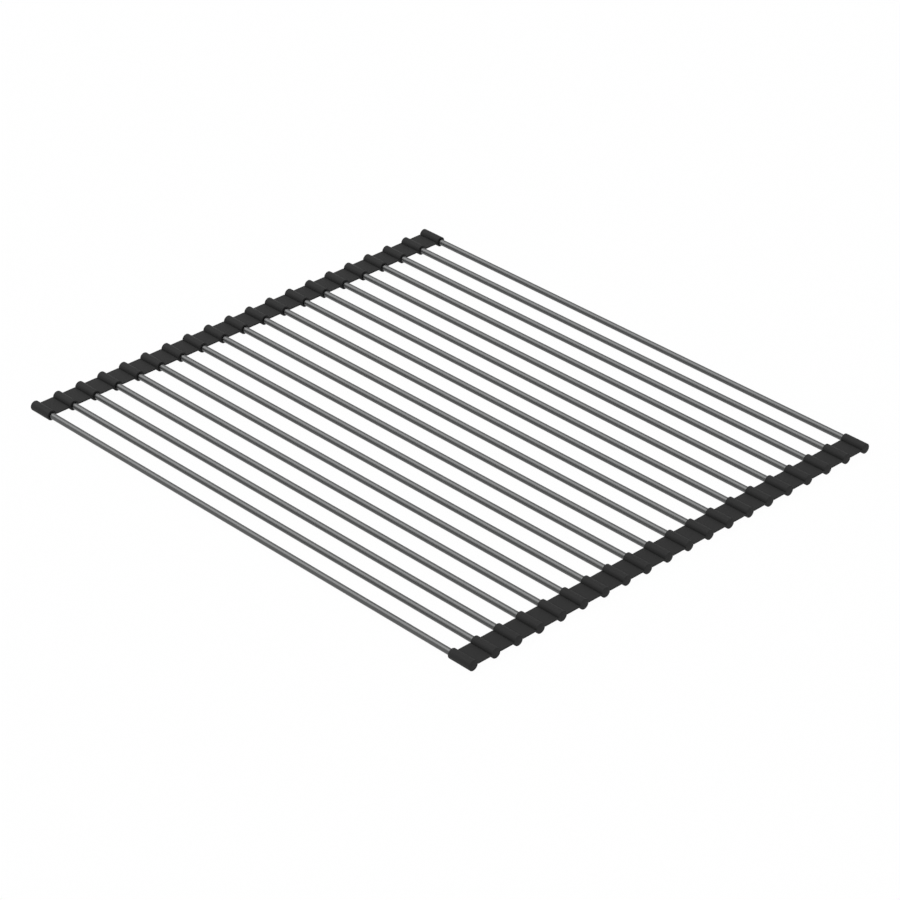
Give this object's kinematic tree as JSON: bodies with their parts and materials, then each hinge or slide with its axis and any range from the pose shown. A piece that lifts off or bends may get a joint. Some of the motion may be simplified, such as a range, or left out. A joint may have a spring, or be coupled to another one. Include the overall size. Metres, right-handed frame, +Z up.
{
  "type": "roll up dish drying rack",
  "caption": "Roll-up dish drying rack: parallel steel rods held at both ends by flexible silicone strips, laid flat over a sink and rolled up to store.",
  "frame": {"origin": "middle of the rack's footprint, on the surface it lies on", "axes": "+X along the rods towards the right strip, +Y along the strips from rod 01 to the last rod, +Z up"},
  "size_m": [0.52, 0.4508, 0.0089],
  "materials": {
    "rods": "satin stainless steel tube, dark neutral grey",
    "strips": "matte black silicone, moulded"
  },
  "bodies": {
    "section_01": {"rod_01": "rods", "left_strip_01": "strips", "right_strip_01": "strips"},
    "section_02": {"rod_02": "rods", "left_strip_02": "strips", "right_strip_02": "strips"},
    "section_03": {"rod_03": "rods", "left_strip_03": "strips", "right_strip_03": "strips"},
    "section_04": {"rod_04": "rods", "left_strip_04": "strips", "right_strip_04": "strips"},
    "section_05": {"rod_05": "rods", "left_strip_05": "strips", "right_strip_05": "strips"},
    "section_06": {"rod_06": "rods", "left_strip_06": "strips", "right_strip_06": "strips"},
    "section_07": {"rod_07": "rods", "left_strip_07": "strips", "right_strip_07": "strips"},
    "section_08": {"rod_08": "rods", "left_strip_08": "strips", "right_strip_08": "strips"},
    "section_09": {"rod_09": "rods", "left_strip_09": "strips", "right_strip_09": "strips"},
    "section_10": {"rod_10": "rods", "left_strip_10": "strips", "right_strip_10": "strips"},
    "section_11": {"rod_11": "rods", "left_strip_11": "strips", "right_strip_11": "strips"},
    "section_12": {"rod_12": "rods", "left_strip_12": "strips", "right_strip_12": "strips"},
    "section_13": {"rod_13": "rods", "left_strip_13": "strips", "right_strip_13": "strips"},
    "section_14": {"rod_14": "rods", "left_strip_14": "strips", "right_strip_14": "strips"},
    "section_15": {"rod_15": "rods", "left_strip_15": "strips", "right_strip_15": "strips"},
    "section_16": {"rod_16": "rods", "left_strip_16": "strips", "right_strip_16": "strips"},
    "section_17": {"rod_17": "rods", "left_strip_17": "strips", "right_strip_17": "strips"},
    "section_18": {"rod_18": "rods", "left_strip_18": "strips", "right_strip_18": "strips"},
    "section_19": {"rod_19": "rods", "left_strip_19": "strips", "right_strip_19": "strips"},
    "section_20": {"rod_20": "rods", "left_strip_20": "strips", "right_strip_20": "strips"}
  },
  "joints": [
    {"name": "fold_01", "type": "hinge", "parent": "section_01", "child": "section_02", "pos_m": [0, -0.20934, 0.00445], "axis": [1, 0, 0], "range_deg": [-33.5, 33.5], "stiffness_Nm_per_rad": 0.0017},
    {"name": "fold_02", "type": "hinge", "parent": "section_02", "child": "section_03", "pos_m": [0, -0.18608, 0.00445], "axis": [1, 0, 0], "range_deg": [-34.5, 34.5], "stiffness_Nm_per_rad": 0.0017},
    {"name": "fold_03", "type": "hinge", "parent": "section_03", "child": "section_04", "pos_m": [0, -0.16282, 0.00445], "axis": [1, 0, 0], "range_deg": [-35, 35], "stiffness_Nm_per_rad": 0.0017},
    {"name": "fold_04", "type": "hinge", "parent": "section_04", "child": "section_05", "pos_m": [0, -0.13956, 0.00445], "axis": [1, 0, 0], "range_deg": [-36, 36], "stiffness_Nm_per_rad": 0.0017},
    {"name": "fold_05", "type": "hinge", "parent": "section_05", "child": "section_06", "pos_m": [0, -0.1163, 0.00445], "axis": [1, 0, 0], "range_deg": [-37, 37], "stiffness_Nm_per_rad": 0.0017},
    {"name": "fold_06", "type": "hinge", "parent": "section_06", "child": "section_07", "pos_m": [0, -0.09304, 0.00445], "axis": [1, 0, 0], "range_deg": [-38, 38], "stiffness_Nm_per_rad": 0.0017},
    {"name": "fold_07", "type": "hinge", "parent": "section_07", "child": "section_08", "pos_m": [0, -0.06978, 0.00445], "axis": [1, 0, 0], "range_deg": [-39, 39], "stiffness_Nm_per_rad": 0.0017},
    {"name": "fold_08", "type": "hinge", "parent": "section_08", "child": "section_09", "pos_m": [0, -0.04652, 0.00445], "axis": [1, 0, 0], "range_deg": [-40, 40], "stiffness_Nm_per_rad": 0.0017},
    {"name": "fold_09", "type": "hinge", "parent": "section_09", "child": "section_10", "pos_m": [0, -0.02326, 0.00445], "axis": [1, 0, 0], "range_deg": [-41.5, 41.5], "stiffness_Nm_per_rad": 0.0017},
    {"name": "fold_10", "type": "hinge", "parent": "section_10", "child": "section_11", "pos_m": [0, 0, 0.00445], "axis": [1, 0, 0], "range_deg": [-43, 43], "stiffness_Nm_per_rad": 0.0017},
    {"name": "fold_11", "type": "hinge", "parent": "section_11", "child": "section_12", "pos_m": [0, 0.02326, 0.00445], "axis": [1, 0, 0], "range_deg": [-44.5, 44.5], "stiffness_Nm_per_rad": 0.0017},
    {"name": "fold_12", "type": "hinge", "parent": "section_12", "child": "section_13", "pos_m": [0, 0.04652, 0.00445], "axis": [1, 0, 0], "range_deg": [-46, 46], "stiffness_Nm_per_rad": 0.0017},
    {"name": "fold_13", "type": "hinge", "parent": "section_13", "child": "section_14", "pos_m": [0, 0.06978, 0.00445], "axis": [1, 0, 0], "range_deg": [-48, 48], "stiffness_Nm_per_rad": 0.0017},
    {"name": "fold_14", "type": "hinge", "parent": "section_14", "child": "section_15", "pos_m": [0, 0.09304, 0.00445], "axis": [1, 0, 0], "range_deg": [-50.5, 50.5], "stiffness_Nm_per_rad": 0.0017},
    {"name": "fold_15", "type": "hinge", "parent": "section_15", "child": "section_16", "pos_m": [0, 0.1163, 0.00445], "axis": [1, 0, 0], "range_deg": [-53, 53], "stiffness_Nm_per_rad": 0.0017},
    {"name": "fold_16", "type": "hinge", "parent": "section_16", "child": "section_17", "pos_m": [0, 0.13956, 0.00445], "axis": [1, 0, 0], "range_deg": [-56.5, 56.5], "stiffness_Nm_per_rad": 0.0017},
    {"name": "fold_17", "type": "hinge", "parent": "section_17", "child": "section_18", "pos_m": [0, 0.16282, 0.00445], "axis": [1, 0, 0], "range_deg": [-60, 60], "stiffness_Nm_per_rad": 0.0017},
    {"name": "fold_18", "type": "hinge", "parent": "section_18", "child": "section_19", "pos_m": [0, 0.18608, 0.00445], "axis": [1, 0, 0], "range_deg": [-65, 65], "stiffness_Nm_per_rad": 0.0017},
    {"name": "fold_19", "type": "hinge", "parent": "section_19", "child": "section_20", "pos_m": [0, 0.20934, 0.00445], "axis": [1, 0, 0], "range_deg": [-71.5, 71.5], "stiffness_Nm_per_rad": 0.0017}
  ]
}
